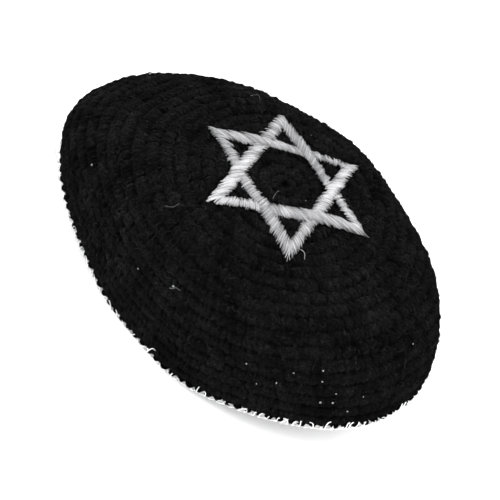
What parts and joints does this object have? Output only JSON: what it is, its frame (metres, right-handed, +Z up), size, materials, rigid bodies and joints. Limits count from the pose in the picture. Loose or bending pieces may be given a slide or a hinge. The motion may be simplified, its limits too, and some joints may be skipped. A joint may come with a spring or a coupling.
{
  "type": "crocheted prayer cap",
  "caption": "Soft crocheted cap with a domed oval crown, an embroidered interlaced star on top and a fine thread edging round its open rim.",
  "frame": {"origin": "on the surface that the cap rests on, under the middle of its box", "axes": "+Z up through the crown, +X along the rim's long axis towards the end that is lifted most"},
  "size_m": [0.172, 0.113, 0.0662],
  "materials": {
    "black_yarn": "matte fuzzy crocheted yarn",
    "silver_thread": "lustrous satin stitched thread",
    "edging_thread": "fine twisted thread"
  },
  "bodies": {
    "root": {"cap_shell": "black_yarn", "star_embroidery": "silver_thread", "rim_edging": "edging_thread"}
  },
  "joints": []
}
